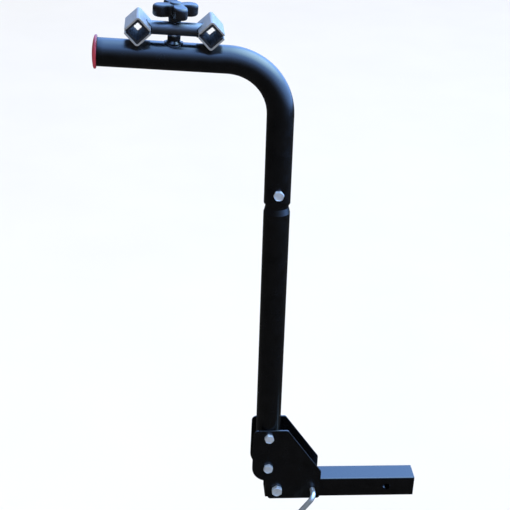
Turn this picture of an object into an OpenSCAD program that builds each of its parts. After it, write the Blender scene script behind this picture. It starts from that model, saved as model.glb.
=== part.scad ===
// Hitch mounted bike rack: a square drawbar, a tilting round mast bent into an
// arm, and a screw-down clamp on the arm that holds two bicycle frames.
// Origin: centre of the hitch pin hole. +X towards the vehicle, +Z up.

/* [Drawbar] */
// Outside width of the square drawbar
bar_w = 50; // [48:0.5:50.5]
// Wall of the drawbar
bar_wall = 5; // [3:0.5:6]
// Outside corner radius of the drawbar
bar_corner = 3; // [1.5:0.5:5]
// Hitch pin hole to the drawbar's free end
pin_to_end = 64; // [50:1:80]
// Hitch pin hole diameter
hitch_hole_d = 16.2; // [16:0.1:17]

/* [Mast] */
// Hitch pin hole to the mast's axis, at the drawbar's height
reach = 279; // [240:1:320]
// Outside diameter of the mast and arm tubes
tube_d = 55; // [50:0.5:60]
// Wall of the mast and arm tubes
tube_wall = 3; // [2:0.5:4]
// Height of the arm's axis where it meets the mast's axis
mast_h = 1002; // [800:1:1100]
// Lean of the mast away from the vehicle, in degrees
mast_lean = 0.8; // [0:0.1:3]
// Height of the bolted joint between the two tubes
joint_h = 734; // [600:1:760]

/* [Arm] */
// Mast axis to the open end of the arm
arm_len = 358; // [330:1:400]
// Rise of the arm towards its end, in degrees
arm_rise = 2.4; // [0:0.1:6]
// Centreline radius of the bend
bend_r = 113; // [95:1:130]
// Diameter of the end cap's flange
cap_d = 65; // [60:1:70]

/* [Side plates] */
// Thickness of a side plate
plate_t = 4; // [3:0.5:5]
// Height of the plates above the drawbar's axis
plate_top = 163; // [150:1:180]
// Mast axis to the pivot bolt
pivot_dx = 22; // [18:1:26]
// Pivot bolt to the lock pin
pin_radius = 82.5; // [76:0.5:90]

/* [Clamp] */
// Mast axis to the middle of the clamp
clamp_dx = 212.4; // [190:0.1:225]
// Distance between the two bicycle cradles
cradle_pitch = 138.8; // [120:0.1:150]
// Length of a cradle across the arm
jaw_len = 80; // [60:1:100]
// Leg length of a jaw's angle section
jaw_leg = 35.5; // [30:0.5:36]
// Wall of a jaw
jaw_wall = 3.5; // [3:0.5:4]
// Thickness of a rubber pad
pad_t = 4; // [2:0.5:5]
// Arm axis to the top ridge of the closed clamp
clamp_top = 83; // [80:1:90]
// Diameter over the knob's lobes
knob_d = 90; // [75:1:95]

/* [Hidden] */
$fn = 96;
eps = 0.01;

// Positions along the drawbar
mast_x = -reach;
pivot_x = mast_x + pivot_dx;
pin_x = pivot_x + pin_radius;
bar_tail = 25.4;
bar_x0 = pivot_x - bar_tail;
bar_len = pin_to_end - bar_x0;

// Tubes
tube_r = tube_d / 2;
bore_r = tube_r - tube_wall;
mast_foot = 40;
neck_gap = 0.2;
neck_r = bore_r - neck_gap;
collar_h = joint_h - 27;
shoulder_h = collar_h - 8;
swage_len = 13;
neck_top = joint_h + 56;
bend_angle = 90 - mast_lean - arm_rise;
bend_tangent = round(100 * bend_r * tan(bend_angle / 2)) / 100;
bend_foot = mast_h - bend_tangent;

// Side plates
plate_in = tube_r + 0.1;
plate_out = plate_in + plate_t;
lower_bolt_h = 62;
upper_bolt_h = 144;
plate_left = -37;
plate_flat = 40;
plate_nose = 122;
plate_nose_z = 50;
plate_foot_x = 2;
plate_waist_x = -5;

// Fasteners: thread diameter, width across flats, head height, nut height
m12 = [12, 19, 7.5, 12];
m14 = [14, 22, 8.8, 14];
hole_gap = 0.5;
washer_t = 2.5;
bolt_end = 3;
sleeve_od = 20;
run_gap = 0.06;
spacer_gap = 0.1;

// Lock pin
pin_d = 12;
pin_hole_gap = 0.2;
slot_half = pin_d / 2 + 0.4;
pin_far_y = 45;
pin_bend_y = -46;
pin_bend_r = 14;
handle_len = 52;
handle_angle = 35;
ball_d = 4;
ball_y = 37.5;
ball_proud = 0.05;
detent_bore_d = 4.2;
detent_bottom = -3.5;

// Clamp, measured in the arm's frame
jaw_tip = 24;
jaw_bend_r = 6;
pad_setback = 1.6;
bridge_d = 26;
bridge_wall = 2.5;
bridge_z = 54;
bridge_top = bridge_z + bridge_d / 2;
stud_d = 12;
stud_hole_d = 13.5;
boss_d = 25;
boss_top = bridge_z - bridge_d / 2 - 0.6;
boss_floor = tube_r + 1;
clamp_washer_d = 24;
clamp_washer_t = 2.2;
knob_z0 = bridge_top + clamp_washer_t + 0.3;
knob_neck_d = 25;
knob_neck_h = 4;
knob_root_d = 36;
knob_flare_h = 5.5;
knob_star_h = 23;
knob_crown_h = 3.5;
knob_crown_d = 22;
knob_lobes = 4;
knob_lobe_r = 14.5;
knob_turn = 17;
stud_top = knob_z0 + 25.5;
insert_h = 10;
insert_af = 19;

// ---------- frames ----------
// z runs up the leaning mast's axis from the drawbar's axis
module mast_frame() {
    translate([mast_x, 0, 0]) rotate([0, -mast_lean, 0]) children();
}

// -x runs out along the arm's axis from the mast's axis, z is the arm's normal
module arm_frame() {
    mast_frame() translate([0, 0, mast_h]) rotate([0, mast_lean + arm_rise, 0]) children();
}

// Turns a shape built along z so that it runs along +Y
module along_y(x, y, z) {
    translate([x, y, z]) rotate([-90, 0, 0]) children();
}

// Point of the mast's axis at height h, as [x, z]
function mast_point(h) = [mast_x - h * sin(mast_lean), h * cos(mast_lean)];

// ---------- shared shapes ----------
// Square section with rounded corners
module rounded_square(w, r) {
    square([w, w - 2 * r], center = true);
    square([w - 2 * r, w], center = true);
    for (sx = [-1, 1], sy = [-1, 1])
        translate([sx * (w / 2 - r), sy * (w / 2 - r)]) circle(r);
}

// Hexagonal prism whose top outer corners are chamfered
module hex_block(af, h) {
    corner_d = af / cos(30);
    chamfer = (corner_d - af) / 2 * 0.6;
    intersection() {
        cylinder(d = corner_d, h = h, $fn = 6);
        union() {
            cylinder(d = corner_d + 1, h = h - chamfer);
            translate([0, 0, h - chamfer])
                cylinder(d1 = corner_d + 0.6 * (corner_d - af), d2 = af * 0.97, h = chamfer);
        }
    }
}

// Bolt along z: the head hangs below z = 0 and the shank rises to len
module hex_bolt(size, len) {
    mirror([0, 0, 1]) hex_block(size[1], size[2]);
    translate([0, 0, -1]) cylinder(d = size[0], h = len);
    translate([0, 0, len - 1]) cylinder(d1 = size[0], d2 = size[0] - 2, h = 1);
}

// Lock nut along z: a hexagon with a round collar for its insert ring
module lock_nut(size) {
    hex_h = size[3] * 0.72;
    difference() {
        union() {
            hex_block(size[1], hex_h);
            cylinder(d = size[1] - 2.5, h = size[3]);
        }
        translate([0, 0, -1]) cylinder(d = size[0] + 0.1, h = size[3] + 2);
    }
}

module flat_washer(id, od, t) {
    difference() {
        cylinder(d = od, h = t);
        translate([0, 0, -1]) cylinder(d = id, h = t + 2);
    }
}

// ---------- drawbar ----------
// Arc-shaped clearance that the lock pin sweeps as the mast tilts
module lock_slot() {
    intersection() {
        difference() {
            circle(pin_radius + slot_half);
            circle(pin_radius - slot_half);
        }
        square(pin_radius + slot_half);
    }
    translate([pin_radius, 0]) circle(slot_half);
}

module drawbar() {
    color("#17181c")
    difference() {
        translate([bar_x0, 0, 0]) rotate([90, 0, 90]) linear_extrude(bar_len)
            rounded_square(bar_w, bar_corner);
        translate([bar_x0 - 1, 0, 0]) rotate([90, 0, 90]) linear_extrude(bar_len + 2)
            rounded_square(bar_w - 2 * bar_wall, bar_corner / 2);
        rotate([90, 0, 0]) cylinder(d = hitch_hole_d, h = bar_w + 2, center = true);
        translate([pivot_x, 0, 0]) rotate([90, 0, 0])
            cylinder(d = sleeve_od, h = bar_w + 2, center = true);
        translate([pivot_x, 0, 0]) rotate([90, 0, 0])
            linear_extrude(bar_w + 2, center = true) lock_slot();
    }
}

// Sleeve welded through the drawbar that the pivot bolt turns in
module pivot_sleeve() {
    color("#3a3d42")
    translate([pivot_x, 0, 0]) rotate([90, 0, 0])
        difference() {
            cylinder(d = sleeve_od, h = bar_w, center = true);
            cylinder(d = m14[0] + 2 * run_gap, h = bar_w + 2, center = true);
        }
}

// ---------- side plates ----------
// Points of an arc about c, from angle a0 to a1 in n steps
function arc(c, r, a0, a1, n) =
    [for (i = [0 : n]) let (a = a0 + (a1 - a0) * i / n) c + r * [cos(a), sin(a)]];

// Outline in x and z, measured from the mast's axis at the drawbar's height
module plate_outline() {
    lobe = mast_point(lower_bolt_h) - [mast_x, 0];
    lobe_r = lobe[0] - plate_left;
    lobe_end = 360 - acos((plate_waist_x - lobe[0]) / lobe_r);
    foot_z = -bar_w / 2 + 0.5;
    slope = atan2(plate_top - plate_nose_z, plate_nose - plate_flat);
    top_r = 12;
    peak_r = 6;
    peak_t = peak_r * tan(slope / 2);
    nose_t = peak_r * tan((90 - slope) / 2);
    polygon(concat(
        arc(lobe, lobe_r, lobe_end, 180, 12),
        arc([plate_left + top_r, plate_top - top_r], top_r, 180, 90, 8),
        arc([plate_flat - peak_t, plate_top - peak_r], peak_r, 90, 90 - slope, 4),
        arc([plate_nose - peak_r, plate_nose_z - nose_t], peak_r, 90 - slope, 0, 4),
        arc([plate_nose - peak_r, foot_z + peak_r], peak_r, 0, -90, 6),
        arc([plate_foot_x + peak_r, foot_z + peak_r], peak_r, 270, 180, 6)
    ));
}

// Plate whose near face lies at y
module side_plate(y) {
    color("#17181c")
    translate([0, y + plate_t, 0]) rotate([90, 0, 0]) linear_extrude(plate_t)
        difference() {
            translate([mast_x, 0]) plate_outline();
            for (h = [lower_bolt_h, upper_bolt_h])
                translate(mast_point(h)) circle(d = m12[0] + hole_gap);
            translate([pivot_x, 0]) circle(d = m14[0] + hole_gap);
            translate([pin_x, 0]) circle(d = pin_d + pin_hole_gap);
        }
}

module near_side_plate() {
    side_plate(-plate_out);
}

module far_side_plate() {
    side_plate(plate_in);
}

// ---------- mast and arm tubes ----------
// Hole across a tube, parallel to Y, at height h of the mast's frame
module cross_hole(h, d) {
    translate([0, 0, h]) rotate([90, 0, 0]) cylinder(d = d, h = tube_d + 2, center = true);
}

// Straight tube whose top is swaged down to slip into the upper tube
module lower_tube() {
    color("#17181c")
    mast_frame()
        difference() {
            rotate_extrude()
                polygon([
                    [bore_r, mast_foot],
                    [tube_r, mast_foot],
                    [tube_r, shoulder_h - swage_len],
                    [neck_r, shoulder_h],
                    [neck_r, neck_top],
                    [neck_r - tube_wall, neck_top],
                    [neck_r - tube_wall, shoulder_h - 1],
                    [bore_r, shoulder_h - swage_len - 1]
                ]);
            for (h = [lower_bolt_h, upper_bolt_h, joint_h]) cross_hole(h, m12[0] + hole_gap);
        }
}

// Solid of radius r that follows the upper tube's bent axis; both ends run on by extra
module bent_bar(r, extra) {
    seam = 0.02;
    translate([0, 0, collar_h - extra]) cylinder(r = r, h = bend_foot - collar_h + extra);
    translate([-bend_r, 0, bend_foot]) rotate([90, 0, 0])
        rotate_extrude(angle = bend_angle) translate([bend_r, 0]) circle(r);
    translate([0, 0, mast_h]) rotate([0, -bend_angle, 0]) {
        translate([0, 0, bend_tangent]) cylinder(r = r, h = arm_len - bend_tangent + extra);
        translate([0, 0, bend_tangent - 1]) cylinder(r = r + seam, h = 2);
    }
}

module upper_tube() {
    color("#17181c")
    mast_frame()
        difference() {
            bent_bar(tube_r, 0);
            bent_bar(bore_r, 1);
            cross_hole(joint_h, m12[0] + hole_gap);
        }
}

// Domed plug in the open end of the arm
module end_cap() {
    flange = 5;
    dome = 4;
    dome_r = (pow(cap_d / 2, 2) + pow(dome, 2)) / (2 * dome);
    plug_len = 24;
    plug_wall = 3;
    color("#8e2232")
    arm_frame() translate([-arm_len, 0, 0]) rotate([0, -90, 0])
        difference() {
            union() {
                cylinder(d = cap_d, h = flange);
                intersection() {
                    translate([0, 0, flange + dome - dome_r]) sphere(dome_r, $fn = 180);
                    cylinder(d = cap_d, h = flange + dome + 1);
                }
                translate([0, 0, -plug_len]) cylinder(r = bore_r - 0.1, h = plug_len);
            }
            translate([0, 0, -plug_len - 1]) cylinder(r = bore_r - plug_wall, h = plug_len + 3);
        }
}

// ---------- fasteners of the mast ----------
module pivot_bolt() {
    color("#b9bcc0")
    along_y(pivot_x, -plate_out, 0)
        hex_bolt(m14, 2 * plate_out + washer_t + m14[3] + bolt_end);
}

module pivot_washer() {
    color("#b9bcc0")
    along_y(pivot_x, plate_out, 0) flat_washer(m14[0] + hole_gap, 28, washer_t);
}

module pivot_nut() {
    color("#b9bcc0")
    along_y(pivot_x, plate_out + washer_t, 0) lock_nut(m14);
}

// Wear washers between the drawbar and the side plates
module pivot_spacers() {
    spacer_t = plate_in - bar_w / 2 - spacer_gap;
    color("#e4e2da")
    for (y = [-plate_in, bar_w / 2 + spacer_gap])
        along_y(pivot_x, y, 0) flat_washer(m14[0] + hole_gap, 34, spacer_t);
}

// Places its children at each of the two bolts that hold the mast, at face y
module at_mast_bolts(y) {
    for (h = [lower_bolt_h, upper_bolt_h])
        along_y(mast_point(h)[0], y, mast_point(h)[1]) children();
}

module mast_bolts() {
    color("#b9bcc0")
    at_mast_bolts(-plate_out) hex_bolt(m12, 2 * plate_out + washer_t + m12[3] + bolt_end);
}

module mast_washers() {
    color("#b9bcc0")
    at_mast_bolts(plate_out) flat_washer(m12[0] + hole_gap, 24, washer_t);
}

module mast_nuts() {
    color("#b9bcc0")
    at_mast_bolts(plate_out + washer_t) lock_nut(m12);
}

module joint_bolt() {
    color("#b9bcc0")
    mast_frame() along_y(0, -tube_r, joint_h)
        hex_bolt(m12, tube_d + washer_t + m12[3] + bolt_end);
}

module joint_washer() {
    color("#b9bcc0")
    mast_frame() along_y(0, tube_r, joint_h) flat_washer(m12[0] + hole_gap, 24, washer_t);
}

module joint_nut() {
    color("#b9bcc0")
    mast_frame() along_y(0, tube_r + washer_t, joint_h) lock_nut(m12);
}

// ---------- lock pin ----------
// Bent pin: a straight shank across the plates, a bend and a handle that hangs down
module lock_pin() {
    turn = [0, handle_angle, 0];
    color("#c2c6cb")
    translate([pin_x, 0, 0])
        difference() {
            union() {
                translate([0, pin_bend_y, 0]) rotate([-90, 0, 0])
                    cylinder(d = pin_d, h = pin_far_y - pin_bend_y - 2);
                translate([0, pin_far_y - 2, 0]) rotate([-90, 0, 0])
                    cylinder(d1 = pin_d, d2 = pin_d - 4, h = 2);
                rotate(turn) translate([0, pin_bend_y, -pin_bend_r]) rotate([0, -90, 0])
                    rotate([0, 0, -90]) rotate_extrude(angle = 90)
                        translate([pin_bend_r, 0]) circle(d = pin_d);
                rotate(turn)
                    translate([0, pin_bend_y - pin_bend_r, -pin_bend_r - handle_len])
                        cylinder(d = pin_d, h = handle_len);
                rotate(turn)
                    translate([0, pin_bend_y - pin_bend_r, -pin_bend_r - handle_len])
                        sphere(d = pin_d);
            }
            translate([0, ball_y, detent_bottom]) cylinder(d = detent_bore_d, h = pin_d);
        }
}

// Coil spring that pushes the detent ball outwards, its ends ground flat.
// A level cut through a coil's round wire is an oval bent round the coil's axis.
module detent_spring() {
    coil_r = 1.5;
    wire_r = 0.25;
    turns = 5;
    sides = 12;
    ball_r = ball_d / 2;
    seat = ball_r - sqrt(pow(ball_r, 2) - pow(coil_r - wire_r, 2)) - 0.05;
    length = pin_d / 2 + ball_proud - ball_d - detent_bottom + seat;
    half_cut = 360 * wire_r * turns / length;
    color("#c2c6cb")
    translate([pin_x, ball_y, detent_bottom])
        linear_extrude(length, twist = -360 * turns, slices = 12 * turns, $fn = sides)
            polygon([
                for (i = [0 : sides - 1])
                    let (a = 360 * i / sides, t = half_cut * sin(a))
                    (coil_r + wire_r * cos(a)) * [cos(t), sin(t)]
            ]);
}

module detent_ball() {
    color("#c2c6cb")
    translate([pin_x, ball_y, pin_d / 2 + ball_proud - ball_d / 2]) sphere(d = ball_d);
}

// ---------- clamp ----------
// Area above two lines that rise at 45 degrees from the origin, its tip rounded to r
module vee(top, r) {
    flat = r / sqrt(2);
    if (r > 0) {
        polygon([[-top, top], [-flat, flat], [flat, flat], [top, top]]);
        translate([0, r * sqrt(2)]) circle(r);
    } else {
        polygon([[-top, top], [0, 0], [top, top]]);
    }
}

// Angle section opening upwards, its outer corner at the origin
module angle_section(leg, wall, r) {
    reach_x = leg / sqrt(2);
    step = wall / sqrt(2);
    flat = r / sqrt(2);
    difference() {
        union() {
            polygon([
                [-reach_x, reach_x], [-flat, flat], [flat, flat], [reach_x, reach_x],
                [reach_x - step, reach_x + step], [step - reach_x, reach_x + step]
            ]);
            translate([0, r * sqrt(2)]) circle(r);
        }
        translate([0, wall * sqrt(2)]) vee(leg, max(r - wall, 0));
    }
}

module jaw() {
    rotate([90, 0, 0]) linear_extrude(jaw_len, center = true)
        angle_section(jaw_leg, jaw_wall, jaw_bend_r);
}

module pad() {
    translate([0, 0, jaw_wall * sqrt(2)]) rotate([90, 0, 0])
        linear_extrude(jaw_len - 2, center = true)
            angle_section(jaw_leg - jaw_wall - pad_setback, pad_t, jaw_bend_r - jaw_wall);
}

// Places a jaw or pad in a cradle: side is -1 for the outer and 1 for the inner one
module in_lower_cradle(side) {
    arm_frame() translate([side * cradle_pitch / 2 - clamp_dx, 0, jaw_tip]) children();
}

module in_upper_cradle(side) {
    arm_frame() translate([side * cradle_pitch / 2 - clamp_dx, 0, clamp_top])
        mirror([0, 0, 1]) children();
}

// Lower jaw, coped to sit on the arm and welded there
module lower_jaw(side) {
    difference() {
        in_lower_cradle(side) jaw();
        arm_frame() rotate([0, -90, 0]) cylinder(r = tube_r, h = arm_len);
    }
}

module inner_lower_jaw() {
    color("#a9b4bd") lower_jaw(1);
}

module outer_lower_jaw() {
    color("#a9b4bd") lower_jaw(-1);
}

module inner_lower_pad() {
    color("#1c1d20") in_lower_cradle(1) pad();
}

module outer_lower_pad() {
    color("#1c1d20") in_lower_cradle(-1) pad();
}

module inner_upper_jaw() {
    color("#a9b4bd") in_upper_cradle(1) jaw();
}

module outer_upper_jaw() {
    color("#a9b4bd") in_upper_cradle(-1) jaw();
}

module inner_upper_pad() {
    color("#1c1d20") in_upper_cradle(1) pad();
}

module outer_upper_pad() {
    color("#1c1d20") in_upper_cradle(-1) pad();
}

// Welded boss on the arm that the stud is screwed into
module clamp_boss() {
    flare = 4;
    color("#17181c")
    arm_frame()
        difference() {
            translate([-clamp_dx, 0, 0]) union() {
                cylinder(d = boss_d, h = boss_top);
                cylinder(d = boss_d + 2 * flare, h = tube_r);
                translate([0, 0, tube_r])
                    cylinder(d1 = boss_d + 2 * flare, d2 = boss_d, h = flare);
            }
            rotate([0, -90, 0]) cylinder(r = tube_r, h = arm_len);
            translate([-clamp_dx, 0, boss_floor]) cylinder(d = stud_d, h = boss_top);
        }
}

module clamp_stud() {
    color("#b9bcc0")
    arm_frame() translate([-clamp_dx, 0, 0]) {
        translate([0, 0, boss_floor]) cylinder(d = stud_d, h = stud_top - boss_floor - 1);
        translate([0, 0, stud_top - 1]) cylinder(d1 = stud_d, d2 = stud_d - 2, h = 1);
    }
}

// Round tube that joins the two upper jaws; its ends are cut to their flanks
module bridge_tube() {
    half = cradle_pitch / 2;
    end_gap = 0.9;
    side_x = jaw_leg / sqrt(2) + end_gap;
    color("#17181c")
    arm_frame() translate([-clamp_dx, 0, 0])
        difference() {
            translate([-half, 0, bridge_z]) rotate([0, 90, 0])
                cylinder(d = bridge_d, h = 2 * half);
            translate([-half - 1, 0, bridge_z]) rotate([0, 90, 0])
                cylinder(d = bridge_d - 2 * bridge_wall, h = 2 * half + 2);
            for (side = [0, 1]) mirror([side, 0, 0])
                translate([half, 0, 0]) rotate([90, 0, 0])
                    linear_extrude(2 * bridge_d, center = true)
                        polygon([
                            [1, 0], [-side_x, 0], [-side_x, clamp_top - side_x],
                            [0, clamp_top], [1, clamp_top]
                        ]);
            cylinder(d = stud_hole_d, h = 2 * bridge_z);
        }
}

module clamp_washer() {
    color("#17181c")
    arm_frame() translate([-clamp_dx, 0, bridge_top])
        flat_washer(stud_hole_d, clamp_washer_d, clamp_washer_t);
}

// Outline of the knob's lobed rim
module knob_star() {
    lobe_x = knob_d / 2 - knob_lobe_r;
    circle(d = knob_root_d);
    for (i = [0 : knob_lobes - 1]) rotate(knob_turn + i * 360 / knob_lobes) {
        translate([lobe_x, 0]) circle(knob_lobe_r);
        translate([0, -knob_lobe_r]) square([lobe_x, 2 * knob_lobe_r]);
    }
}

module knob() {
    star_z = knob_neck_h + knob_flare_h;
    color("#1d1e22")
    arm_frame() translate([-clamp_dx, 0, knob_z0])
        difference() {
            union() {
                cylinder(d = knob_neck_d, h = knob_neck_h);
                translate([0, 0, knob_neck_h])
                    cylinder(d1 = knob_neck_d, d2 = knob_root_d, h = knob_flare_h);
                translate([0, 0, star_z]) linear_extrude(knob_star_h) knob_star();
                translate([0, 0, star_z + knob_star_h])
                    cylinder(d1 = knob_root_d, d2 = knob_crown_d, h = knob_crown_h);
            }
            translate([0, 0, -eps])
                cylinder(d = insert_af / cos(30), h = insert_h + eps, $fn = 6);
            translate([0, 0, insert_h - eps])
                cylinder(d = stud_d + 1, h = stud_top - knob_z0 - insert_h + 1);
        }
}

// Threaded steel insert moulded into the foot of the knob
module knob_insert() {
    color("#b9bcc0")
    arm_frame() translate([-clamp_dx, 0, knob_z0])
        difference() {
            cylinder(d = insert_af / cos(30), h = insert_h, $fn = 6);
            translate([0, 0, -1]) cylinder(d = stud_d + 2 * run_gap, h = insert_h + 2);
        }
}

drawbar();
pivot_sleeve();
near_side_plate();
far_side_plate();
lower_tube();
upper_tube();
end_cap();
pivot_bolt();
pivot_washer();
pivot_nut();
pivot_spacers();
mast_bolts();
mast_washers();
mast_nuts();
joint_bolt();
joint_washer();
joint_nut();
inner_lower_jaw();
outer_lower_jaw();
inner_lower_pad();
outer_lower_pad();
clamp_boss();
clamp_stud();
lock_pin();
detent_spring();
detent_ball();
bridge_tube();
inner_upper_jaw();
outer_upper_jaw();
inner_upper_pad();
outer_upper_pad();
clamp_washer();
knob();
knob_insert();
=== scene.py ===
import math

import bmesh
import bpy
from mathutils import Matrix, Vector


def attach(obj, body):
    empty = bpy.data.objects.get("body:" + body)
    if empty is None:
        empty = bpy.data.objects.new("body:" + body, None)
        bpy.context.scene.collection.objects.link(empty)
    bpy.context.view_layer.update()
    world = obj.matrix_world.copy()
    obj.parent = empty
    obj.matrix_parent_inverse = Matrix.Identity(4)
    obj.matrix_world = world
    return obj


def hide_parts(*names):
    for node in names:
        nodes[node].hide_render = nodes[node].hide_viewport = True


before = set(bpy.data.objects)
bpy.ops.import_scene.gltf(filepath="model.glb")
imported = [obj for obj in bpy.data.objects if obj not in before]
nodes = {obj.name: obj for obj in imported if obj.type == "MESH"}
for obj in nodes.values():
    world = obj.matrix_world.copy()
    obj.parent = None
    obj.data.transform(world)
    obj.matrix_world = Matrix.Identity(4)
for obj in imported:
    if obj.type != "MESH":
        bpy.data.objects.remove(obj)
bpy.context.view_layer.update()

scene = bpy.context.scene
MM = 0.001

# ---------------------------------------------------------------- the CAD's frames, in metres
LEAN = math.radians(0.8)
RISE = math.radians(2.4)
MAST_X = -0.279
MAST_H = 1.002
ARM_LEN = 0.358
CLAMP_X = -0.2124
HALF_PITCH = 0.0694
TUBE_R = 0.0275
BORE_R = 0.0245
BEND_R = 0.113
COLLAR_H = 0.707
JOINT_H = 0.734
PLATE_OUT = 0.0316
PIVOT_X = -0.257
# Heights above the arm's axis at the clamp
JAW_FOOT = 24 * MM
JAW_CROWN = 83 * MM
BRIDGE_Z = 54 * MM
BRIDGE_R = 13 * MM
WASHER_FOOT = 67 * MM
KNOB_FOOT = 69.5 * MM
# The jaws' steel, from its outer face to the pad
PAD_BACK = 3.5 * MM

MAST = Matrix.Translation((MAST_X, 0, 0)) @ Matrix.Rotation(-LEAN, 4, "Y")
ARM = MAST @ Matrix.Translation((0, 0, MAST_H)) @ Matrix.Rotation(LEAN + RISE, 4, "Y")
CLAMP = ARM @ Matrix.Translation((CLAMP_X, 0, 0))
ALONG_Y = Matrix.Rotation(-math.pi / 2, 4, "X")


# ---------------------------------------------------------------- materials
def set_ramp(ramp, stops):
    """Gives a colour ramp exactly these (position, colour) stops."""
    first, last = ramp.elements[0], ramp.elements[1]
    first.position, first.color = stops[0][0], (*stops[0][1], 1)
    last.position, last.color = stops[-1][0], (*stops[-1][1], 1)
    for at, colour in stops[1:-1]:
        ramp.elements.new(at).color = (*colour, 1)


class Shader:
    """A Principled material whose colour, roughness and bump come from nodes."""

    def __init__(self, name, metallic=0.0, ior=1.5):
        self.material = bpy.data.materials.new(name)
        self.material.use_nodes = True
        self.tree = self.material.node_tree
        self.surface = self.tree.nodes["Principled BSDF"]
        self.surface.inputs["Metallic"].default_value = metallic
        self.surface.inputs["IOR"].default_value = ior
        self.coords = self.tree.nodes.new("ShaderNodeTexCoord").outputs["Object"]

    def place(self, stretch):
        """Object coordinates, squeezed along an axis so that a pattern draws out along it."""
        mapping = self.tree.nodes.new("ShaderNodeMapping")
        mapping.inputs["Scale"].default_value = stretch
        self.tree.links.new(self.coords, mapping.inputs["Vector"])
        return mapping.outputs["Vector"]

    def noise(self, scale, detail, stretch=(1, 1, 1)):
        node = self.tree.nodes.new("ShaderNodeTexNoise")
        node.inputs["Scale"].default_value = scale
        node.inputs["Detail"].default_value = detail
        node.inputs["Roughness"].default_value = 0.55
        self.tree.links.new(self.place(stretch), node.inputs["Vector"])
        return node.outputs["Fac"]

    def cells(self, scale, stretch=(1, 1, 1)):
        node = self.tree.nodes.new("ShaderNodeTexVoronoi")
        node.inputs["Scale"].default_value = scale
        self.tree.links.new(self.place(stretch), node.inputs["Vector"])
        return node.outputs["Distance"]

    def ramp(self, value, stops):
        node = self.tree.nodes.new("ShaderNodeValToRGB")
        set_ramp(node.color_ramp, stops)
        self.tree.links.new(value, node.inputs["Fac"])
        return node.outputs["Color"]

    def spread(self, value, low, high):
        """A noise's middle range, spread over low to high."""
        node = self.tree.nodes.new("ShaderNodeMapRange")
        node.inputs["From Min"].default_value = 0.3
        node.inputs["From Max"].default_value = 0.7
        node.inputs["To Min"].default_value = low
        node.inputs["To Max"].default_value = high
        self.tree.links.new(value, node.inputs["Value"])
        return node.outputs["Result"]

    def blend(self, mask, first, second):
        """The first colour, and the second where the mask is white."""
        node = self.tree.nodes.new("ShaderNodeMix")
        node.data_type = "RGBA"
        self.tree.links.new(mask, node.inputs["Factor"])
        self.tree.links.new(first, node.inputs["A"])
        self.tree.links.new(second, node.inputs["B"])
        return node.outputs["Result"]

    def colour(self, socket):
        self.tree.links.new(socket, self.surface.inputs["Base Color"])

    def roughness(self, socket):
        self.tree.links.new(socket, self.surface.inputs["Roughness"])

    def bump(self, value, depth):
        """Relief of the given depth in metres."""
        node = self.tree.nodes.new("ShaderNodeBump")
        node.inputs["Distance"].default_value = depth
        node.inputs["Strength"].default_value = 1.0
        self.tree.links.new(value, node.inputs["Height"])
        self.tree.links.new(node.outputs["Normal"], self.surface.inputs["Normal"])


COAT = [(0.35, (0.0010, 0.0011, 0.0014)), (0.7, (0.0022, 0.0023, 0.0028))]
SATIN_COAT = [(0.35, (0.004, 0.004, 0.005)), (0.7, (0.007, 0.007, 0.008))]
RUBBED_COAT = [(0.3, (0.008, 0.008, 0.009)), (0.7, (0.012, 0.012, 0.013))]
STREAKS = [(0.66, (0, 0, 0)), (0.74, (1, 1, 1))]
ORANGE_PEEL = 0.01 * MM


def coat(name, rough, ior=1.5):
    """A powder coat without its colour: uneven gloss and faint orange peel."""
    s = Shader(name, ior=ior)
    s.roughness(s.spread(s.noise(60, 6), *rough))
    s.bump(s.noise(420, 2), ORANGE_PEEL)
    return s


def black_coat(name, colours, rough, ior=1.5):
    """Black powder coat whose colour changes slowly over the surface."""
    s = coat(name, rough, ior)
    s.colour(s.ramp(s.noise(35, 5), colours))
    return s.material


def worn_coat():
    """The same coat on the drawbar, with fine marks where it slides in the receiver."""
    s = coat("powder_coat_drawbar", (0.13, 0.22))
    plain = s.ramp(s.noise(35, 5), COAT)
    rubbed = s.ramp(s.noise(35, 5), RUBBED_COAT)
    streaks = s.ramp(s.noise(900, 3, (0.02, 1, 1)), STREAKS)
    s.colour(s.blend(streaks, plain, rubbed))
    return s.material


def zinc(name, light, dark, rough, stretch=(1, 1, 1), metallic=0.7):
    """Zinc plating: cloudy patches, a fine crystal grain and uneven gloss; stretch draws them out."""
    s = Shader(name, metallic=metallic)
    s.colour(s.ramp(s.noise(110, 5, stretch), [(0.3, dark), (0.68, light)]))
    s.roughness(s.spread(s.noise(240, 4, stretch), *rough))
    s.bump(s.cells(1600, stretch), 0.012 * MM)
    return s.material


def rubber():
    """Matt black rubber with a fine grain."""
    s = Shader("pad_rubber", ior=1.3)
    s.colour(s.ramp(s.noise(140, 5), [(0.3, (0.006, 0.006, 0.007)), (0.7, (0.014, 0.014, 0.015))]))
    s.roughness(s.spread(s.noise(320, 3), 0.62, 0.85))
    s.bump(s.noise(1400, 3), 0.06 * MM)
    return s.material


def moulded(name, dark, light, rough):
    """Moulded plastic with a fine textured skin and slow variation of its colour."""
    s = Shader(name, ior=1.48)
    s.colour(s.ramp(s.noise(45, 4), [(0.3, dark), (0.7, light)]))
    s.roughness(s.spread(s.noise(120, 5), *rough))
    s.bump(s.cells(1900), 0.03 * MM)
    return s.material


def bare_steel():
    """Plain steel, a little cloudy."""
    s = Shader("plain_steel", metallic=1.0)
    s.colour(s.ramp(s.noise(160, 6), [(0.3, (0.30, 0.29, 0.28)), (0.7, (0.46, 0.46, 0.46))]))
    s.roughness(s.spread(s.noise(300, 4), 0.28, 0.46))
    s.bump(s.noise(1500, 3), 0.01 * MM)
    return s.material


BLACK = black_coat("powder_coat", COAT, (0.19, 0.28))
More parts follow.
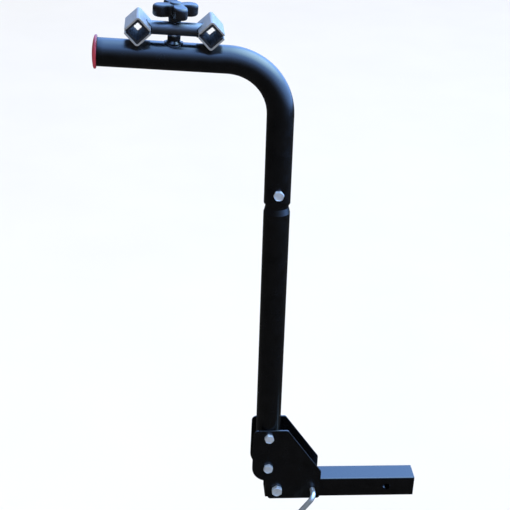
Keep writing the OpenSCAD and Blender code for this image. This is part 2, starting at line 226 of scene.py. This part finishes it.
# The bridge tube's gloss is brighter and softer than the arm's
SATIN = black_coat("satin_black", SATIN_COAT, (0.38, 0.48), ior=2.1)
DRAWBAR_BLACK = worn_coat()
ZINC = zinc("zinc_plate", (0.74, 0.80, 0.84), (0.60, 0.66, 0.71), (0.34, 0.48))
JAW_ZINC = zinc("zinc_jaw", (0.285, 0.285, 0.283), (0.21, 0.21, 0.208), (0.42, 0.58),
                stretch=(1, 0.12, 1), metallic=0.35)
PIN_ZINC = zinc("zinc_pin", (0.50, 0.54, 0.57), (0.38, 0.42, 0.45), (0.30, 0.44))
RUBBER = rubber()
RED = moulded("red_plastic", (0.26, 0.018, 0.036), (0.34, 0.026, 0.050), (0.30, 0.42))
KNOB_BLACK = moulded("knob_plastic", (0.003, 0.003, 0.004), (0.006, 0.006, 0.007), (0.20, 0.30))
NYLON = moulded("nylon", (0.70, 0.69, 0.63), (0.82, 0.81, 0.76), (0.45, 0.60))
STEEL = bare_steel()


# ---------------------------------------------------------------- mesh builders
def piece(name, mesh, place, material, body, stands_for=(), smooth_angle=32):
    """One visible piece on a body, in place of the CAD nodes that it stands for."""
    mesh.transform(place)
    mesh.materials.clear()
    mesh.materials.append(material)
    mesh.shade_smooth()
    mesh.set_sharp_from_angle(angle=math.radians(smooth_angle))
    obj = bpy.data.objects.new(name, mesh)
    scene.collection.objects.link(obj)
    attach(obj, body)
    if stands_for:
        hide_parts(*stands_for)
    return obj


def as_mesh(name, points, faces):
    """A clean mesh: points that coincide are joined and the faces turned outwards."""
    mesh = bpy.data.meshes.new(name)
    mesh.from_pydata([tuple(p) for p in points], [], faces)
    mesh.validate()
    build = bmesh.new()
    build.from_mesh(mesh)
    bmesh.ops.remove_doubles(build, verts=build.verts, dist=1e-7)
    bmesh.ops.recalc_face_normals(build, faces=build.faces)
    build.to_mesh(mesh)
    build.free()
    return mesh


def grid(name, rows, close_rows=False, close_ring=True):
    """Quads between rows of points that all have the same count."""
    count = len(rows[0])
    points = [p for row in rows for p in row]
    faces = []
    for i in range(len(rows) if close_rows else len(rows) - 1):
        a, b = i * count, (i + 1) % len(rows) * count
        for j in range(count if close_ring else count - 1):
            k = (j + 1) % count
            faces.append((a + j, a + k, b + k, b + j))
    return as_mesh(name, points, faces)


def join(name, *meshes):
    """Several meshes as one."""
    points, faces = [], []
    for mesh in meshes:
        start = len(points)
        points += [v.co.copy() for v in mesh.vertices]
        faces += [tuple(start + i for i in f.vertices) for f in mesh.polygons]
    return as_mesh(name, points, faces)


def turned_ring(radius, z, steps):
    """Points around the z axis."""
    return [Vector((radius * math.cos(2 * math.pi * i / steps),
                    radius * math.sin(2 * math.pi * i / steps), z)) for i in range(steps)]


def rounded(corners, steps=4):
    """A closed outline from (x, z, radius) corners, each with an arc of that radius."""
    out = []
    for i, (x, z, radius) in enumerate(corners):
        here = Vector((x, z))
        before = Vector(corners[i - 1][:2]) - here
        after = Vector(corners[(i + 1) % len(corners)][:2]) - here
        if radius <= 0:
            out.append(here)
            continue
        turn = before.angle(after)
        back = min(radius / math.tan(turn / 2), 0.48 * before.length, 0.48 * after.length)
        start = here + before.normalized() * back
        end = here + after.normalized() * back
        for j in range(steps + 1):
            t = j / steps
            out.append(start * (1 - t) ** 2 + here * 2 * t * (1 - t) + end * t * t)
    return out


def revolve(name, corners, steps=96, rounding=4):
    """A ring or tube turned from its closed section of (radius, z, corner radius)."""
    section = rounded(corners, rounding)
    rows = []
    for i in range(steps):
        a = 2 * math.pi * i / steps
        rows.append([Vector((p.x * math.cos(a), p.x * math.sin(a), p.y)) for p in section])
    return grid(name, rows, close_rows=True)


def solid_turn(name, profile, steps=96):
    """A solid turned from an open profile that starts and ends on the axis."""
    return grid(name, [turned_ring(radius, z, steps) for radius, z in profile])


SHARP = math.radians(32)


def softened(node, width, material, name, body):
    """A CAD node's own mesh with its sharp edges rounded as paint or forming leaves them."""
    mesh = nodes[node].data.copy()
    build = bmesh.new()
    build.from_mesh(mesh)
    bmesh.ops.remove_doubles(build, verts=build.verts, dist=1e-6)
    bmesh.ops.dissolve_limit(build, angle_limit=math.radians(0.6), verts=build.verts,
                             edges=build.edges)
    sharp = [e for e in build.edges if e.is_manifold and e.calc_face_angle(0) > SHARP]
    bmesh.ops.bevel(build, geom=sharp, offset=width, segments=2, profile=0.5,
                    affect="EDGES", clamp_overlap=True)
    bmesh.ops.remove_doubles(build, verts=build.verts, dist=1e-6)
    build.to_mesh(mesh)
    build.free()
    mesh.name = name
    obj = piece(name, mesh, Matrix.Identity(4), material, body, (node,), 40)
    weigh = obj.modifiers.new("even_shading", "WEIGHTED_NORMAL")
    weigh.keep_sharp = True
    return obj


RIPPLE = 2.2 * MM
THREAD_LEAD = 0.6 * MM
BEAD_SIDES = 10


def bead(path, radius):
    """A weld bead along a closed path, with the ripples that a weld pool leaves."""
    count = len(path)
    lengths = [0.0]
    for i in range(count):
        lengths.append(lengths[-1] + (path[(i + 1) % count] - path[i]).length)
    waves = max(6, round(lengths[-1] / RIPPLE))
    centre = sum(path, Vector()) / count
    rows = []
    for i in range(count):
        along = (path[(i + 1) % count] - path[i - 1]).normalized()
        side = (path[i] - centre).cross(along).normalized()
        up = along.cross(side)
        phase = lengths[i] / lengths[-1] * waves % 1.0
        size = radius * (0.86 + 0.18 * math.sqrt(max(0.0, 1 - (2 * phase - 1) ** 2)))
        rows.append([path[i] + size * (math.cos(a) * side + math.sin(a) * up)
                     for a in (2 * math.pi * j / BEAD_SIDES for j in range(BEAD_SIDES))])
    return grid("weld", rows, close_rows=True)


def thread(name, radius, pitch, z0, z1):
    """A threaded rod: one helical ridge for each pitch, fading to a plain point at both ends."""
    steps, levels_per_turn = 40, 8
    depth = pitch * 0.54
    levels = max(levels_per_turn, round((z1 - z0) / pitch * levels_per_turn))
    rows = [[Vector((0, 0, z0))] * steps]
    for i in range(levels + 1):
        z = z0 + (z1 - z0) * i / levels
        full = max(0.0, min(1.0, (z - z0) / pitch, (z1 - z) / pitch))
        row = []
        for j in range(steps):
            ridge = abs(2 * ((z / pitch - j / steps) % 1.0) - 1)
            inset = depth * (1 - min(1.0, max(0.0, ridge * 1.25 - 0.12)))
            r = radius - inset * full - THREAD_LEAD * (1 - full)
            a = 2 * math.pi * j / steps
            row.append(Vector((r * math.cos(a), r * math.sin(a), z)))
        rows.append(row)
    rows.append([Vector((0, 0, z1))] * steps)
    return grid(name, rows)


def hexagon(name, across, height, turn, bore=0.0, chamfer_foot=False, dish=0.0):
    """A hexagon head or nut with the round chamfer that its corners get."""
    steps = 96
    flat = across / 2
    rim = flat * 0.95
    outline = []
    for i in range(steps):
        a = 2 * math.pi * i / steps
        fold = (a % (math.pi / 3)) - math.pi / 6
        outline.append((a + turn, min(flat / math.cos(fold), flat * 1.135)))
    drop = [max(0.0, (r - rim) * math.tan(math.radians(28))) for _, r in outline]

    def ring(radius, z):
        return [Vector((radius * math.cos(a), radius * math.sin(a), z)) for a, _ in outline]

    def corners(base, slope):
        """The hexagon's own outline, where slope bends it by the chamfer's drop."""
        return [Vector((r * math.cos(a), r * math.sin(a), base + slope * d))
                for (a, r), d in zip(outline, drop)]

    rows = [ring(bore, 0)]
    if chamfer_foot:
        rows += [ring(rim, 0), corners(0, 1)]
    else:
        rows.append(corners(0, 0))
    rows += [corners(height, -1), ring(rim, height), ring(rim * 0.93, height - dish),
             ring(bore or rim * 0.05, height - dish)]
    if not bore:
        rows.append(ring(0.0, height - dish))
    return grid(name, rows, close_rows=bool(bore))


# ---------------------------------------------------------------- tubes
def bent_tube():
    """The upper tube: collar, bend and arm as one swept wall with rounded rims."""
    bend = math.pi / 2 - LEAN - RISE
    tangent = BEND_R * math.tan(bend / 2)
    foot = MAST_H - tangent
    upright, curve, level, around = 24, 56, 20, 128
    stations = [(Vector((0, 0, COLLAR_H)), 0.0)]
    for i in range(1, upright + 1):
        stations.append((Vector((0, 0, COLLAR_H + (foot - COLLAR_H) * i / upright)), 0.0))
    for i in range(1, curve + 1):
        a = bend * i / curve
        stations.append((Vector((-BEND_R * (1 - math.cos(a)), 0, foot + BEND_R * math.sin(a))), a))
    end, heading = stations[-1]
    ahead = Vector((-math.sin(heading), 0, math.cos(heading)))
    straight = ARM_LEN - tangent
    for i in range(1, level + 1):
        stations.append((end + ahead * straight * i / level, heading))

    def ring(at, angle, radius, push=0.0):
        """A circle across the tube, pushed along it by a little for the rims."""
        out = Vector((math.cos(angle), 0, math.sin(angle)))
        way = Vector((-math.sin(angle), 0, math.cos(angle)))
        return [at + way * push + radius * (math.cos(b) * out + math.sin(b) * Vector((0, 1, 0)))
                for b in (2 * math.pi * j / around for j in range(around))]

    soft = 0.6 * MM
    first, last = stations[0], stations[-1]
    rows = [ring(*first, TUBE_R - soft), ring(*first, TUBE_R - 0.3 * soft, 0.3 * soft),
            ring(*first, TUBE_R, soft)]
    rows += [ring(p, a, TUBE_R) for p, a in stations[1:-1]]
    rows += [ring(*last, TUBE_R, -soft), ring(*last, TUBE_R - 0.3 * soft, -0.3 * soft),
             ring(*last, TUBE_R - soft), ring(*last, BORE_R + soft),
             ring(*last, BORE_R, -soft)]
    rows += [ring(p, a, BORE_R) for p, a in reversed(stations[1:-1])]
    rows += [ring(*first, BORE_R, soft), ring(*first, BORE_R + soft)]
    return grid("upper_tube_skin", rows, close_rows=True)


def straight_tube():
    """The lower tube with the swaged neck that slips into the upper one."""
    foot, shoulder, swaged, top = 0.040, 0.686, 0.699, 0.790
    neck = BORE_R - 0.2 * MM
    inner = neck - 3 * MM
    return revolve("lower_tube_skin", [
        (BORE_R, foot, 0.5 * MM), (TUBE_R, foot, 0.8 * MM), (TUBE_R, shoulder, 4 * MM),
        (neck, swaged, 3 * MM), (neck, top, 0.5 * MM), (inner, top, 0.5 * MM),
        (inner, swaged - 1 * MM, 3 * MM), (BORE_R, shoulder - 1 * MM, 3 * MM),
    ], 128, 6)


piece("upper_tube_skin", bent_tube(), MAST, BLACK, "mast", ["upper_tube"])
piece("lower_tube_skin", straight_tube(), MAST, BLACK, "mast", ["lower_tube"])


# ---------------------------------------------------------------- fasteners
M12 = dict(size=12 * MM, across=19 * MM, head=7.5 * MM, nut=12 * MM, pitch=1.75 * MM)
M14 = dict(size=14 * MM, across=22 * MM, head=8.8 * MM, nut=14 * MM, pitch=2.0 * MM)
WASHER_T = 2.5 * MM
BOLT_END = 3 * MM
# A lock nut's hexagon as a share of its height, and the rolled collar above it
NUT_HEXAGON = 0.72
COLLAR_IN = 1.25 * MM
COLLAR_T = 2.2 * MM
# A hair of room between the pieces of one fastener
HAIR = 0.1 * MM


def bolt_mesh(spec, grip, turn):
    """Head towards -z, shank and thread towards +z, nut side at grip."""
    r = spec["size"] / 2
    face_r = spec["across"] * 0.47
    plain = grip * 0.8
    end = grip + WASHER_T + spec["nut"] + BOLT_END
    head = hexagon("head", spec["across"], spec["head"], turn, dish=0.4 * MM)
    head.transform(Matrix.Rotation(math.pi, 4, "X"))
    face = solid_turn("face", [(0, -HAIR), (face_r, -HAIR), (face_r, HAIR), (0, HAIR)], 64)
    shank = solid_turn("shank", [(0, -1 * MM), (r, -1 * MM), (r, plain), (0, plain)], 48)
    return join("bolt", head, face, shank, thread("screw", r, spec["pitch"], plain, end))


def nut_mesh(spec, turn):
    """Lock nut: hexagon with a rolled collar that holds the nylon ring."""
    top = spec["nut"] * NUT_HEXAGON
    outer = spec["across"] / 2 - COLLAR_IN
    inner = outer - COLLAR_T
    bore = spec["size"] / 2 + HAIR
    body = hexagon("body", spec["across"], top, turn, bore=bore, chamfer_foot=True)
    ring = revolve("ring", [(inner, top - 0.5 * MM, 0), (outer, top - 0.5 * MM, 0),
                            (outer, spec["nut"], 1.2 * MM), (inner, spec["nut"], 0.6 * MM)], 64)
    return join("nut", body, ring)


def nylon_ring(spec):
    """The ring inside a lock nut's collar."""
    inner = spec["size"] / 2 + HAIR
    outer = spec["across"] / 2 - COLLAR_IN - COLLAR_T + HAIR
    low = spec["nut"] * NUT_HEXAGON
    top = spec["nut"] - 0.6 * MM
    return revolve("nylon", [(inner, low, 0), (outer, low, 0), (outer, top, 0.5 * MM),
                             (inner, top, 0.8 * MM)], 64)


def washer_mesh(inner, outer, thickness):
    """A flat washer, its punched edges a little round."""
    return revolve("washer", [(inner, 0, 0.3 * MM), (outer, 0, 0.4 * MM),
                              (outer, thickness, 0.7 * MM), (inner, thickness, 0.5 * MM)], 72)


def mast_point(height):
    """A point on the mast's axis at a height above the drawbar's axis."""
    return Vector((MAST_X - height * math.sin(LEAN), 0, height * math.cos(LEAN)))


def placed(mesh, where):
    mesh.transform(where)
    return mesh


def fasten(kind, nodes_out, spec, spots, half, washer_d, turns):
    """Bolts, washers and nuts of one kind through a grip from -half to +half in y."""
    bolts, washers, nuts, rings = [], [], [], []
    for at, turn in zip(spots, turns):
        near = at @ Matrix.Translation((0, -half, 0)) @ ALONG_Y
        far = at @ Matrix.Translation((0, half, 0)) @ ALONG_Y
        beyond = at @ Matrix.Translation((0, half + WASHER_T, 0)) @ ALONG_Y
        bolts.append(placed(bolt_mesh(spec, 2 * half, turn), near))
        washers.append(placed(washer_mesh(spec["size"] / 2 + 0.25 * MM, washer_d / 2, WASHER_T), far))
        nuts.append(placed(nut_mesh(spec, turn + 0.4), beyond))
        rings.append(placed(nylon_ring(spec), beyond))
    still = Matrix.Identity(4)
    for part, meshes, node in zip(("bolt_threaded", "washer_rounded", "nut_collared"),
                                  (bolts, washers, nuts), nodes_out):
        piece(f"{kind}_{part}", join(part, *meshes), still, ZINC, "mast", [node])
    piece(f"{kind}_nut_insert", join("nut_insert", *rings), still, NYLON, "mast")


MAST_BOLT_HEIGHTS = (0.062, 0.144)
fasten("mast", ("mast_bolts", "mast_washers", "mast_nuts"), M12,
       [Matrix.Translation(mast_point(h)) for h in MAST_BOLT_HEIGHTS], PLATE_OUT, 24 * MM, (0.3, 0.9))
fasten("pivot", ("pivot_bolt", "pivot_washer", "pivot_nut"), M14,
       [Matrix.Translation((PIVOT_X, 0, 0))], PLATE_OUT, 28 * MM, (0.55,))
fasten("joint", ("joint_bolt", "joint_washer", "joint_nut"), M12,
       [MAST @ Matrix.Translation((0, 0, JOINT_H))], TUBE_R, 24 * MM, (0.15,))


# ---------------------------------------------------------------- frame parts with softened edges
softened("drawbar", 0.7 * MM, DRAWBAR_BLACK, "drawbar_coated", "drawbar")
softened("near_side_plate", 0.8 * MM, BLACK, "near_side_plate_coated", "mast")
softened("far_side_plate", 0.8 * MM, BLACK, "far_side_plate_coated", "mast")
softened("clamp_boss", 0.5 * MM, BLACK, "clamp_boss_coated", "mast")
softened("bridge_tube", 0.4 * MM, SATIN, "bridge_tube_coated", "upper_clamp")
for side in ("inner", "outer"):
    softened(f"{side}_lower_jaw", 0.6 * MM, JAW_ZINC, f"{side}_lower_jaw_formed", "mast")
    softened(f"{side}_upper_jaw", 0.6 * MM, JAW_ZINC, f"{side}_upper_jaw_formed", "upper_clamp")


# ---------------------------------------------------------------- rubber pads
def pad_mesh():
    """The V pad with shallow grooves along it, so that a frame tube can't turn."""
    leg, wall, radius, soft = 30.4 * MM, 4 * MM, 2.5 * MM, 0.8 * MM
    half, grooves, groove_w, groove_t = 39 * MM, 5, 0.9 * MM, 0.8 * MM
    right = Vector((1, 1)).normalized()
    left = Vector((-1, 1)).normalized()
    inside = Vector((0, wall * math.sqrt(2)))

    def leg_face(arm, normal):
        """One leg's inner face from the V's root to the leg's end, grooves and all."""
        points = []
        for i in range(grooves):
            a = (leg - wall) * (i + 0.75) / grooves
            points += [inside + arm * (a - groove_w),
                       inside + arm * (a - 0.5 * groove_w) - normal * groove_t,
                       inside + arm * (a + 0.5 * groove_w) - normal * groove_t,
                       inside + arm * (a + groove_w)]
        return points + [arm * leg + normal * wall]

    outline = [left * leg, left * radius, Vector((0, 0.4 * radius)), right * radius, right * leg]
    outline += leg_face(right, left)[::-1] + [inside] + leg_face(left, right)
    middle = Vector((0, 12 * MM))
    inward = [(middle - p).normalized() for p in outline]
    rows = [[Vector((p.x + way.x * shrink, y, p.y + way.y * shrink)) for p, way in zip(outline, inward)]
            for y, shrink in ((-half, soft), (-half + soft, 0.0), (half - soft, 0.0), (half, soft))]
    mesh = grid("pad", rows)
    build = bmesh.new()
    build.from_mesh(mesh)
    bmesh.ops.holes_fill(build, edges=[e for e in build.edges if e.is_boundary], sides=0)
    bmesh.ops.recalc_face_normals(build, faces=build.faces)
    build.to_mesh(mesh)
    build.free()
    return mesh


PAD_FOOT = JAW_FOOT + PAD_BACK * math.sqrt(2)
PAD_CROWN = JAW_CROWN - PAD_BACK * math.sqrt(2)
UPSIDE_DOWN = Matrix.Scale(-1, 4, (0, 0, 1))
for side, sign in (("inner", 1), ("outer", -1)):
    low = CLAMP @ Matrix.Translation((sign * HALF_PITCH, 0, PAD_FOOT))
    high = CLAMP @ Matrix.Translation((sign * HALF_PITCH, 0, PAD_CROWN)) @ UPSIDE_DOWN
    piece(f"{side}_lower_pad_grooved", pad_mesh(), low, RUBBER, "mast",
          [f"{side}_lower_pad"])
    upper = pad_mesh()
    upper.flip_normals()
    piece(f"{side}_upper_pad_grooved", upper, high, RUBBER, "upper_clamp",
          [f"{side}_upper_pad"])


# ---------------------------------------------------------------- welds
def cope_path(steps=60):
    """Where a lower jaw's V meets the round arm: a closed loop on the tube."""
    reach = math.sqrt(TUBE_R ** 2 - JAW_FOOT ** 2)
    path = []
    for i in range(steps):
        a = 2 * math.pi * i / steps
        y = reach * math.cos(a)
        z = math.sqrt(TUBE_R ** 2 - y * y)
        u = (z - JAW_FOOT) * (1 if math.sin(a) >= 0 else -1)
        path.append(Vector((u, y, z)))
    return path


def ring_on_arm(radius, steps=120):
    """Where the upright boss meets the round arm, just above the arm's skin."""
    path = []
    for i in range(steps):
        a = 2 * math.pi * i / steps
        y = radius * math.sin(a)
        path.append(Vector((radius * math.cos(a), y, math.sqrt(TUBE_R ** 2 - y * y) + 0.3 * MM)))
    return path


JAW_REACH = 25.1 * MM


def bridge_path(steps=96):
    """The bridge tube's end on the upper jaw's outer face, seen from the bridge's middle."""
    path = []
    for i in range(steps):
        a = 2 * math.pi * i / steps
        y = BRIDGE_R * math.cos(a)
        z = BRIDGE_Z + BRIDGE_R * math.sin(a)
        x = HALF_PITCH - max(0.0, min(JAW_REACH, JAW_CROWN - z))
        path.append(Vector((x, y, z)))
    return path


for side, sign in (("inner", 1), ("outer", -1)):
    at = CLAMP @ Matrix.Translation((sign * HALF_PITCH, 0, 0))
    piece(f"{side}_jaw_weld", bead(cope_path(), 1.6 * MM), at, BLACK, "mast")
    flip = CLAMP @ Matrix.Scale(sign, 4, (1, 0, 0))
    mesh = bead(bridge_path(), 1.5 * MM)
    if sign < 0:
        mesh.flip_normals()
    piece(f"{side}_bridge_weld", mesh, flip, BLACK, "upper_clamp")
piece("boss_weld", bead(ring_on_arm(16.6 * MM), 1.8 * MM), CLAMP, BLACK, "mast")


# ---------------------------------------------------------------- stud, washer and knob
STUD_R = 6 * MM
STUD_FOOT, STUD_TOP = 28.5 * MM, 94.9 * MM
INSERT_ACROSS, INSERT_H = 19 * MM, 10 * MM
# Outlines of the knob in mm, as (radius, height above the knob's foot or the star's top)
KNOB_BORE = ((0, 26.5), (6.5, 26.5), (6.5, 10.05), (11.0, 10.05), (11.0, 0))
KNOB_NECK = ((11.9, 0), (12.5, 0.5), (12.5, 4), (13.8, 7.5), (14.6, 8.8))
KNOB_CROWN = ((11.7, 0), (11.3, 0.3), (10.9, 2.2), (10.2, 2.9), (8.8, 3.3), (0, 3.4))
KNOB_TURN = math.radians(17)
STAR_FOOT, STAR_TOP, STAR_EDGE = 9.5 * MM, 32.5 * MM, 6.0 * MM
LOBE_R, LOBE_REACH, ROOT_R, TIP_R = 14.5 * MM, 45 * MM, 18 * MM, 42 * MM
FILLET_PASSES = 22

piece("clamp_stud_threaded", thread("stud", STUD_R, 1.75 * MM, STUD_FOOT, STUD_TOP), CLAMP, ZINC,
      "mast", ["clamp_stud"])
# Painted shade: the washer under the knob gets the black coat in place of its zinc, for the knob's
# shadow over it
piece("clamp_washer_rounded", washer_mesh(6.75 * MM, 12 * MM, 2.2 * MM),
      CLAMP @ Matrix.Translation((0, 0, WASHER_FOOT)), BLACK, "upper_clamp",
      ["clamp_washer"])


def knob_outline(steps=240):
    """Four round-ended lobes with wide fillets between them, as (angle, radius) pairs."""
    angles = [2 * math.pi * i / steps for i in range(steps)]
    centre = LOBE_REACH - LOBE_R
    radii = []
    for a in angles:
        off = (a + math.pi / 4) % (math.pi / 2) - math.pi / 4
        side = abs(math.sin(off))
        radius = ROOT_R
        if side * centre <= LOBE_R:
            radius = centre * math.cos(off) + math.sqrt(LOBE_R ** 2 - (centre * side) ** 2)
        if side > 1e-6:
            radius = max(ROOT_R, min(radius, LOBE_R / side))
        radii.append(radius)
    for _ in range(FILLET_PASSES):
        smooth = [(radii[i - 1] + 2 * radii[i] + radii[(i + 1) % steps]) / 4 for i in range(steps)]
        radii = [min(s, r) if r > TIP_R else s for s, r in zip(smooth, radii)]
    return list(zip(angles, radii))


def knob_mesh():
    """Bore, neck and fat lobed star with edges moulded round, and a low round crown."""
    outline = knob_outline()
    steps = len(outline)

    def star(inset, z):
        """The lobed outline, drawn in towards the axis by inset."""
        return [Vector(((r - inset) * math.cos(a), (r - inset) * math.sin(a), z)) for a, r in outline]

    quarter = [math.pi / 2 * i / 8 for i in range(9)]
    rows = [turned_ring(radius * MM, z * MM, steps) for radius, z in KNOB_BORE + KNOB_NECK]
    rows += [star(STAR_EDGE * (1 - math.sin(t)), STAR_FOOT + STAR_EDGE * (1 - math.cos(t)))
             for t in quarter]
    rows += [star(STAR_EDGE * (1 - math.cos(t)), STAR_TOP - STAR_EDGE * (1 - math.sin(t)))
             for t in quarter]
    rows += [turned_ring(radius * MM, STAR_TOP + rise * MM, steps) for radius, rise in KNOB_CROWN]
    mesh = grid("knob", rows)
    mesh.transform(Matrix.Translation((0, 0, KNOB_FOOT)) @ Matrix.Rotation(KNOB_TURN, 4, "Z"))
    return mesh


def insert_mesh():
    """The hexagon insert that the stud screws into."""
    mesh = hexagon("insert", INSERT_ACROSS, INSERT_H, 0.0, bore=STUD_R + 0.06 * MM)
    mesh.transform(Matrix.Translation((0, 0, KNOB_FOOT)))
    return mesh


piece("knob_moulded", knob_mesh(), CLAMP, KNOB_BLACK, "knob", ["knob"], 50)
piece("knob_insert_hexagon", insert_mesh(), CLAMP, STEEL, "knob", ["knob_insert"])


# ---------------------------------------------------------------- end cap
# Outline in mm, as (radius, height above the tube's end): dome, rim, plug and hollow
CAP_DOME = ((0, 9.0), (10, 8.7), (20, 7.6), (27, 6.2), (30.5, 5.2), (32, 4.2))
CAP_RIM = ((32.5, 2.8), (32.5, 1.4), (31.8, 0.4), (30.9, 0.0))
CAP_PLUG = ((24.4, 0.0), (24.4, -23.0), (23.6, -24.0), (21.5, -24.0), (21.5, 2.0), (0, 2.0))


def cap_mesh():
    """Flange with a rounded rim, a shallow dome and the plug behind it."""
    mesh = solid_turn("cap", [(r * MM, z * MM) for r, z in CAP_DOME + CAP_RIM + CAP_PLUG], 128)
    mesh.transform(Matrix.Translation((-ARM_LEN, 0, 0)) @ Matrix.Rotation(-math.pi / 2, 4, "Y"))
    return mesh


piece("end_cap_moulded", cap_mesh(), ARM, RED, "mast", ["end_cap"], 28)


# ---------------------------------------------------------------- CAD nodes that stay
for node, material in (("pivot_sleeve", STEEL), ("pivot_spacers", NYLON), ("lock_pin", PIN_ZINC),
                       ("detent_spring", STEEL), ("detent_ball", STEEL)):
    for slot in nodes[node].material_slots:
        slot.material = material


# ---------------------------------------------------------------- camera
RIGHT = Vector((0.996222, -0.076005, 0.042010))
UP = Vector((-0.004203, 0.440986, 0.897503))
AHEAD = Vector((0.086741, 0.894289, -0.439001))
EYE = (-0.53727, -2.15636, 1.64346)
FOCAL_PIXELS = 1150
PICTURE_PIXELS = 510
SENSOR = 36
HALF_PIXEL = 0.5 / FOCAL_PIXELS
aim = (AHEAD - HALF_PIXEL * RIGHT + HALF_PIXEL * UP).normalized()
right = (RIGHT - RIGHT.dot(aim) * aim).normalized()
up = right.cross(aim)
camera = bpy.data.objects.new("camera", bpy.data.cameras.new("camera"))
camera.data.sensor_width = SENSOR
camera.data.lens = SENSOR * FOCAL_PIXELS / PICTURE_PIXELS
camera.matrix_world = Matrix((
    (right.x, up.x, -aim.x, EYE[0]),
    (right.y, up.y, -aim.y, EYE[1]),
    (right.z, up.z, -aim.z, EYE[2]),
    (0, 0, 0, 1)))
scene.collection.objects.link(camera)
scene.camera = camera


# ---------------------------------------------------------------- studio
FLOOR_Z = -0.46
FLOOR_HALF = 40
# The dome's pole leans right and back, and its blue light comes from above
DOME_R = 8.0
LEAN_BACK = math.radians(10)
LEAN_SIDE = math.radians(32)
SKY_POWER = 15.0
# Brightness by the angle from the dome's pole, in degrees
SKY = [(180, (0.04, 0.04, 0.05)), (112, (0.05, 0.05, 0.07)), (98, (0.11, 0.13, 0.18)),
       (88, (0.22, 0.30, 0.45)), (75, (0.42, 0.68, 1.30)), (66, (0.68, 1.15, 2.40)),
       (59, (1.10, 2.10, 4.50)), (50, (1.45, 2.80, 6.00)), (38, (1.90, 3.65, 7.60)),
       (26, (4.20, 7.40, 11.60)), (12, (6.40, 10.20, 14.50)), (0, (6.80, 10.80, 15.00))]
GROUND_GLOW = (0.02, 0.09)


def level_square(name, half):
    """A flat square at the floor's height."""
    mesh = bpy.data.meshes.new(name)
    corners = [(-half, -half, FLOOR_Z), (half, -half, FLOOR_Z), (half, half, FLOOR_Z),
               (-half, half, FLOOR_Z)]
    mesh.from_pydata(corners, [], [(0, 1, 2, 3)])
    obj = bpy.data.objects.new(name, mesh)
    scene.collection.objects.link(obj)
    return obj


def glowing(obj, axis):
    """An emission on an object, and a value that runs from 0 to 1 along the object's axis."""
    material = bpy.data.materials.new(obj.name)
    material.use_nodes = True
    obj.data.materials.append(material)
    tree = material.node_tree
    tree.nodes.clear()
    place = tree.nodes.new("ShaderNodeTexCoord")
    split = tree.nodes.new("ShaderNodeSeparateXYZ")
    along = tree.nodes.new("ShaderNodeMapRange")
    along.inputs["From Min"].default_value = -DOME_R
    along.inputs["From Max"].default_value = DOME_R
    glow = tree.nodes.new("ShaderNodeEmission")
    output = tree.nodes.new("ShaderNodeOutputMaterial")
    tree.links.new(place.outputs["Object"], split.inputs[0])
    tree.links.new(split.outputs[axis], along.inputs["Value"])
    tree.links.new(glow.outputs["Emission"], output.inputs["Surface"])
    return tree, along, glow


def only_in_gloss(obj):
    """Hides an object from everything but glossy reflections."""
    for ray in ("visible_camera", "visible_diffuse", "visible_shadow", "visible_transmission",
                "visible_volume_scatter"):
        setattr(obj, ray, False)


def add_floor():
    """The pale floor, which gloss doesn't see."""
    floor = level_square("floor", FLOOR_HALF)
    pale = Shader("floor")
    pale.colour(pale.ramp(pale.noise(2, 2), [(0.3, (0.90, 0.90, 0.90)), (0.7, (0.92, 0.92, 0.92))]))
    pale.surface.inputs["Roughness"].default_value = 0.9
    floor.data.materials.append(pale.material)
    floor.visible_glossy = False


def add_world():
    """Even white light from all around."""
    world = bpy.data.worlds.new("studio")
    scene.world = world
    world.use_nodes = True
    world.node_tree.nodes["Background"].inputs["Color"].default_value = (1, 1, 1, 1)
    world.node_tree.nodes["Background"].inputs["Strength"].default_value = 1.0


def add_dome():
    """The dome that the gloss reflects: blue above and dark below."""
    mesh = bpy.data.meshes.new("dome")
    shape = bmesh.new()
    bmesh.ops.create_uvsphere(shape, u_segments=48, v_segments=32, radius=DOME_R)
    shape.to_mesh(mesh)
    shape.free()
    mesh.shade_smooth()
    dome = bpy.data.objects.new("dome", mesh)
    dome.matrix_world = Matrix.Rotation(LEAN_SIDE, 4, "Y") @ Matrix.Rotation(-LEAN_BACK, 4, "X")
    scene.collection.objects.link(dome)
    tree, height, glow = glowing(dome, "Z")
    colours = tree.nodes.new("ShaderNodeValToRGB")
    set_ramp(colours.color_ramp,
             [((math.cos(math.radians(angle)) + 1) / 2, [v / SKY_POWER for v in colour])
              for angle, colour in SKY])
    glow.inputs["Strength"].default_value = SKY_POWER
    tree.links.new(height.outputs["Result"], colours.inputs["Fac"])
    tree.links.new(colours.outputs["Color"], glow.inputs["Color"])
    only_in_gloss(dome)


def add_ground():
    """The dark ground that the gloss sees below the horizon, a little lighter on the right."""
    ground = level_square("ground", DOME_R)
    tree, across, glow = glowing(ground, "X")
    across.inputs["To Min"].default_value, across.inputs["To Max"].default_value = GROUND_GLOW
    tree.links.new(across.outputs["Result"], glow.inputs["Strength"])
    only_in_gloss(ground)


def add_softbox(name, at, width, power, colour):
    """A square area light that looks at the rack's middle and isn't seen in gloss."""
    lamp = bpy.data.lights.new(name, "AREA")
    lamp.shape = "RECTANGLE"
    lamp.size = width
    lamp.size_y = width
    lamp.energy = power
    lamp.color = colour
    obj = bpy.data.objects.new(name, lamp)
    obj.location = at
    obj.visible_glossy = False
    toward = RACK_MIDDLE - Vector(at)
    obj.rotation_euler = toward.to_track_quat("-Z", "Y").to_euler()
    scene.collection.objects.link(obj)


RACK_MIDDLE = Vector((-0.35, 0, 0.5))
add_floor()
add_world()
add_dome()
add_ground()
add_softbox("key", (-2.4, -2.6, 3.0), 2.4, 30, (1.0, 0.99, 0.97))

scene.view_settings.view_transform = "Standard"
